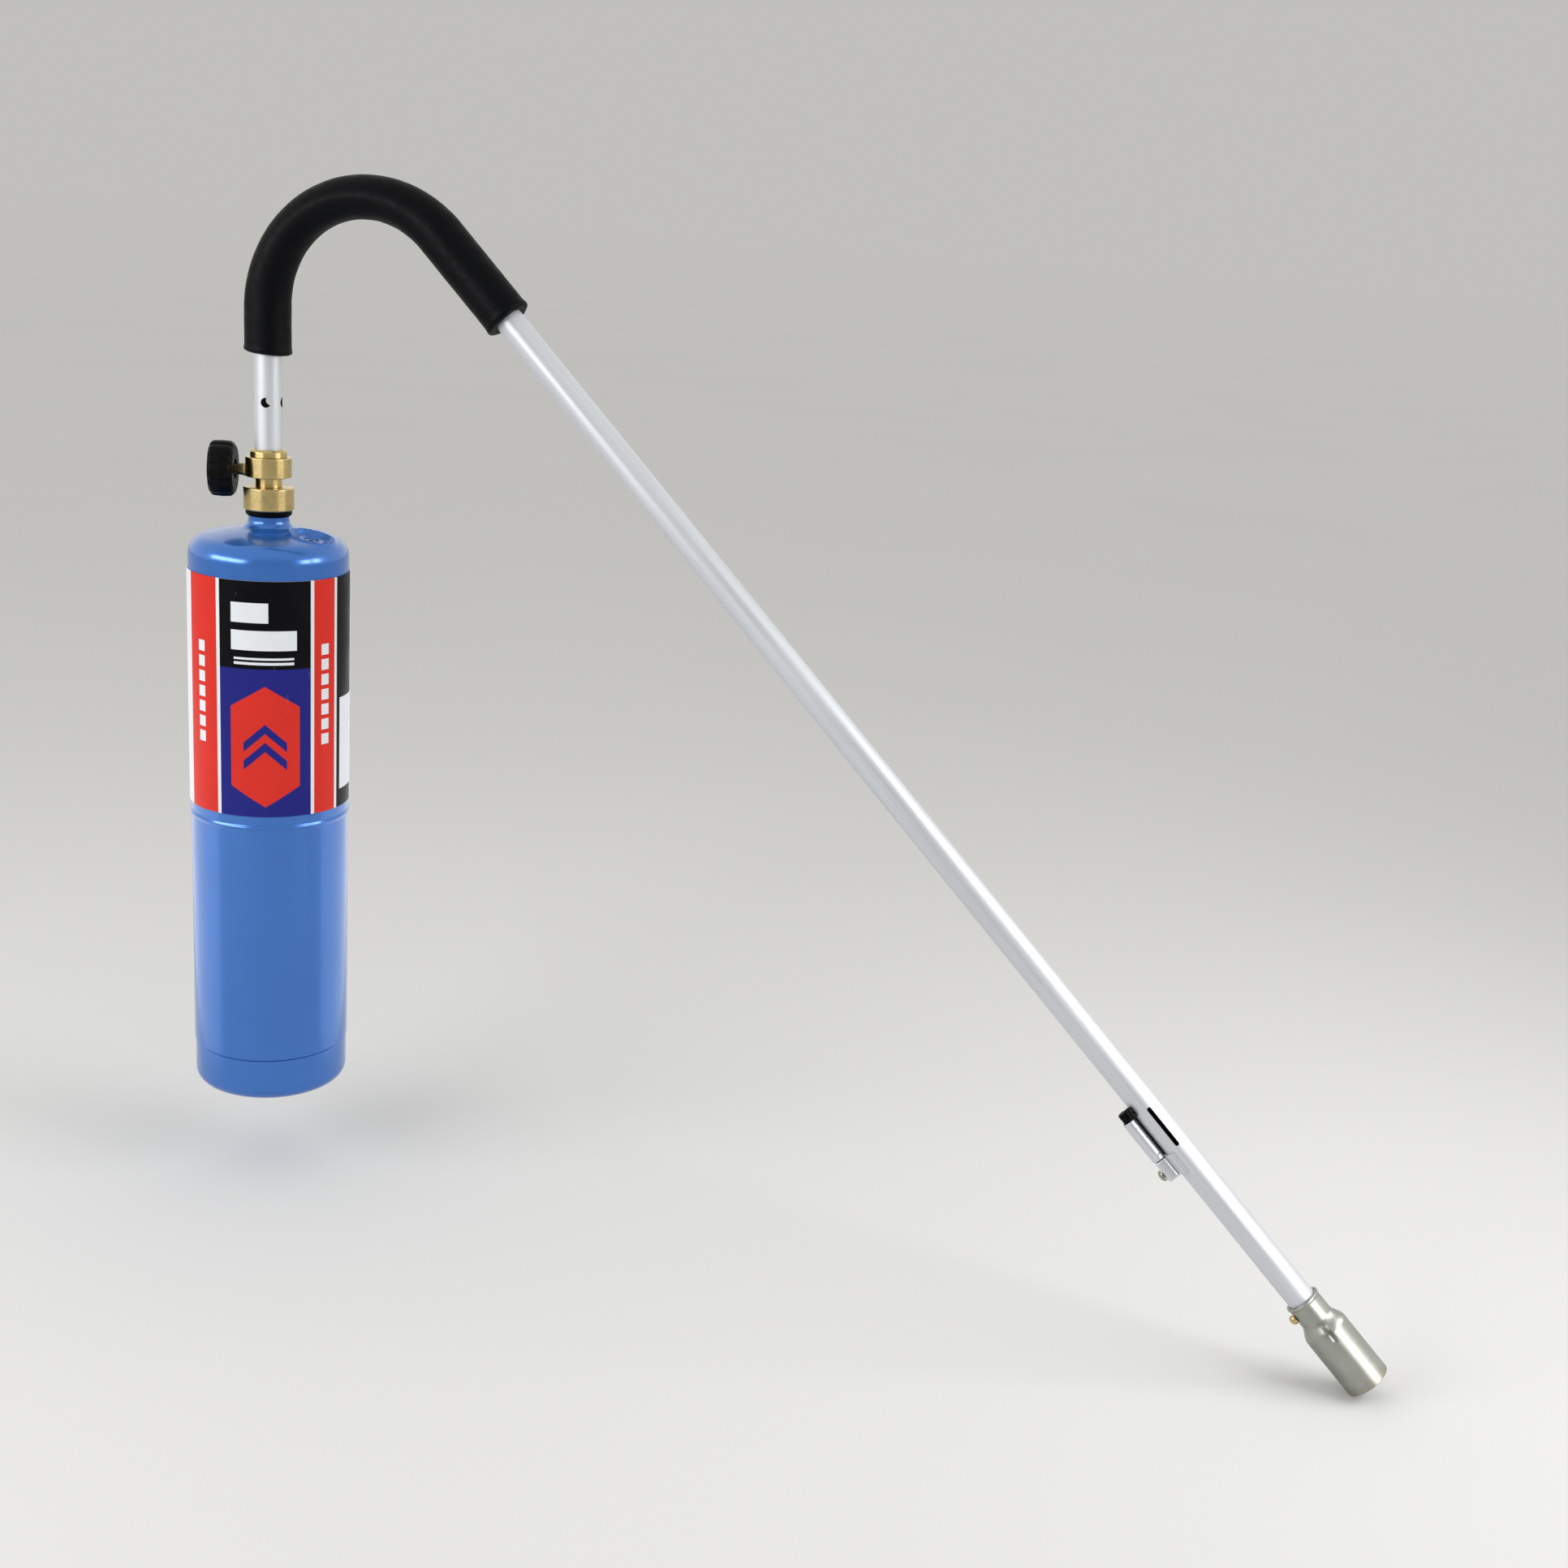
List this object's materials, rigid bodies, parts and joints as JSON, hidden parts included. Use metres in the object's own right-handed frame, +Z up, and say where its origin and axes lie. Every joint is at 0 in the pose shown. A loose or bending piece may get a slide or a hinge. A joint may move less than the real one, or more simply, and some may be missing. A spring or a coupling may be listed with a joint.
{
  "type": "propane torch",
  "caption": "Hook-shaped propane torch: screw-on gas cylinder, brass valve with knob, foam grip, long lance with push-button igniter and burner.",
  "frame": {"origin": "middle of the bottom of the object's bounding box, level with the lowest point of the burner's rim", "axes": "+Z up along the gas cylinder's axis; the hooked tube lies in the XZ plane and the lance runs towards +X and down; the front is -Y"},
  "size_m": [0.5576, 0.0712, 0.4578],
  "materials": {
    "cylinder_paint": "gloss enamel over drawn steel",
    "label_print": "gloss printed sleeve in plain colour panels",
    "brass": "turned, bright",
    "tube_metal": "satin tube with fine lengthwise grain",
    "burner_metal": "satin nickel, warm grey",
    "small_steel": "bright small parts",
    "knob_plastic": "moulded, semi-matte black",
    "grip_foam": "soft closed-cell foam, matte black",
    "seal_rubber": "black rubber",
    "ceramic": "unglazed white ceramic"
  },
  "bodies": {
    "torch": {"valve_body": "brass", "inlet_collar": "brass", "inlet_washer": "seal_rubber", "inlet_pin": "brass", "gas_jet": "brass", "tube_ferrule": "brass", "packing_gland": "brass", "main_tube": "tube_metal", "foam_grip": "grip_foam", "igniter_case": "tube_metal", "piezo_element": "ceramic", "igniter_terminal": "brass", "igniter_bracket": "tube_metal", "bracket_screw": "brass", "igniter_clip": "knob_plastic", "ignition_lead": "seal_rubber", "electrode_insulator": "ceramic", "spark_electrode": "small_steel", "burner_head": "burner_metal", "burner_screw": "brass", "flame_holder": "small_steel"},
    "spindle_seal": {"spindle_o_ring": "seal_rubber"},
    "knob": {"control_knob": "knob_plastic", "valve_spindle": "small_steel"},
    "button": {"igniter_button": "knob_plastic"},
    "hammer": {"igniter_hammer": "small_steel", "igniter_spring": "small_steel"},
    "neck_ring": {"neck_seal": "seal_rubber"},
    "fuel_cylinder": {"cylinder_shell": "cylinder_paint", "cylinder_base": "cylinder_paint", "label_sleeve": "label_print", "relief_valve": "small_steel", "neck_boss": "brass", "tank_valve_core": "brass", "tank_valve_spring": "small_steel"},
    "tank_poppet": {"tank_valve_poppet": "small_steel"}
  },
  "joints": [
    {"name": "spindle_travel", "type": "slide", "parent": "torch", "child": "spindle_seal", "axis": [-0.9135, -0.4067, 0], "range_m": [0, 0.00075]},
    {"name": "knob_turn", "type": "hinge", "parent": "spindle_seal", "child": "knob", "pos_m": [-0.2611, -0.00797, 0.32847], "axis": [-0.9135, -0.4067, 0], "range_deg": [0, 540]},
    {"name": "button_press", "type": "slide", "parent": "torch", "child": "button", "axis": [0.712, 0, -0.7022], "range_m": [0, 0.003], "stiffness_N_per_m": 1200, "springref_m": -0.002},
    {"name": "hammer_travel", "type": "slide", "parent": "torch", "child": "hammer", "axis": [0.712, 0, -0.7022], "range_m": [0, 0.0012]},
    {"name": "cylinder_drop", "type": "slide", "parent": "torch", "child": "neck_ring", "axis": [0, 0, -1], "range_m": [0, 0.00698]},
    {"name": "cylinder_turn", "type": "hinge", "parent": "neck_ring", "child": "fuel_cylinder", "pos_m": [-0.24319, 0, 0.19077], "axis": [0, 0, -1], "range_deg": [0, 1980]},
    {"name": "poppet_rise", "type": "slide", "parent": "fuel_cylinder", "child": "tank_poppet", "axis": [0, 0, 1], "range_m": [0, 0.001], "deforming": ["tank_valve_spring"]}
  ],
  "couplings": [
    {"joint": "knob_turn", "follows": "spindle_travel", "rad_per_m": 12566},
    {"joint": "hammer_travel", "follows": "button_press", "ratio": 0.4},
    {"joint": "cylinder_drop", "follows": "cylinder_turn", "m_per_rad": 0.00020213},
    {"joint": "poppet_rise", "follows": "cylinder_turn", "m_per_rad": 0.000028937}
  ]
}
